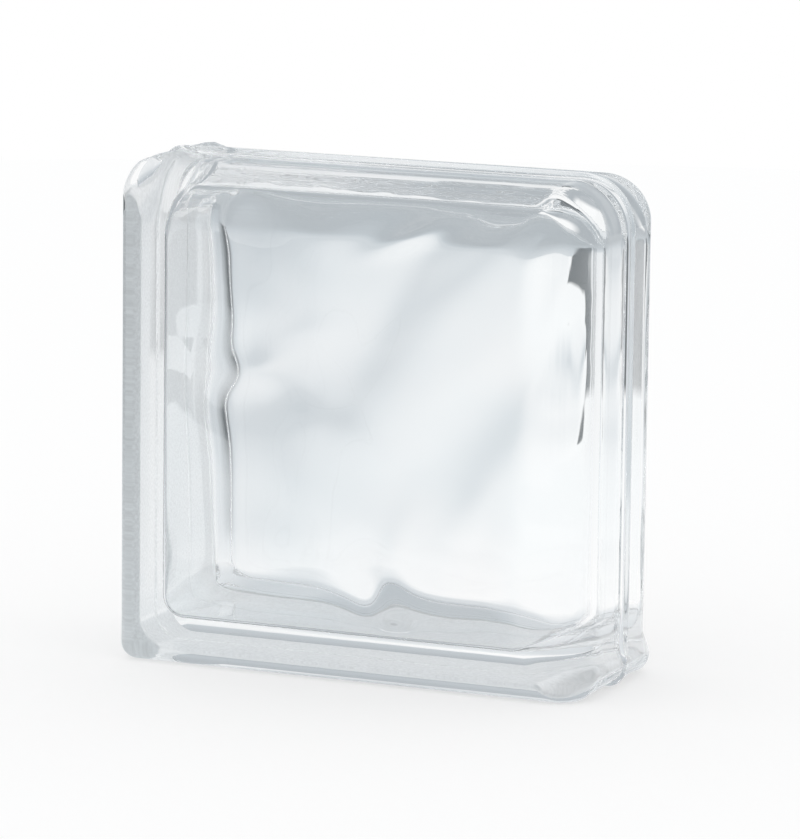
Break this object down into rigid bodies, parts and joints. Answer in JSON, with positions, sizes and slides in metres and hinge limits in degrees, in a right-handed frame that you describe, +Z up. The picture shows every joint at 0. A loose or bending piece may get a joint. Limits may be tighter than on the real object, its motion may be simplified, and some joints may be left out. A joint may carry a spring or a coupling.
{
  "type": "glass block",
  "caption": "Square hollow glass block with wave-patterned panes, smooth rounded finished sides at the top and right, and keyed mortar sides at the left and bottom.",
  "frame": {"origin": "middle of the bottom, on the bed plane that the mortar flanges rest on, halfway through the depth", "axes": "+X to the right across the front face, +Y through the depth from the front face to the back face, +Z up"},
  "size_m": [0.19, 0.08, 0.19],
  "materials": {
    "glass": "clear pressed glass, polished"
  },
  "bodies": {
    "root": {"front_half": "glass", "back_half": "glass"}
  },
  "joints": []
}
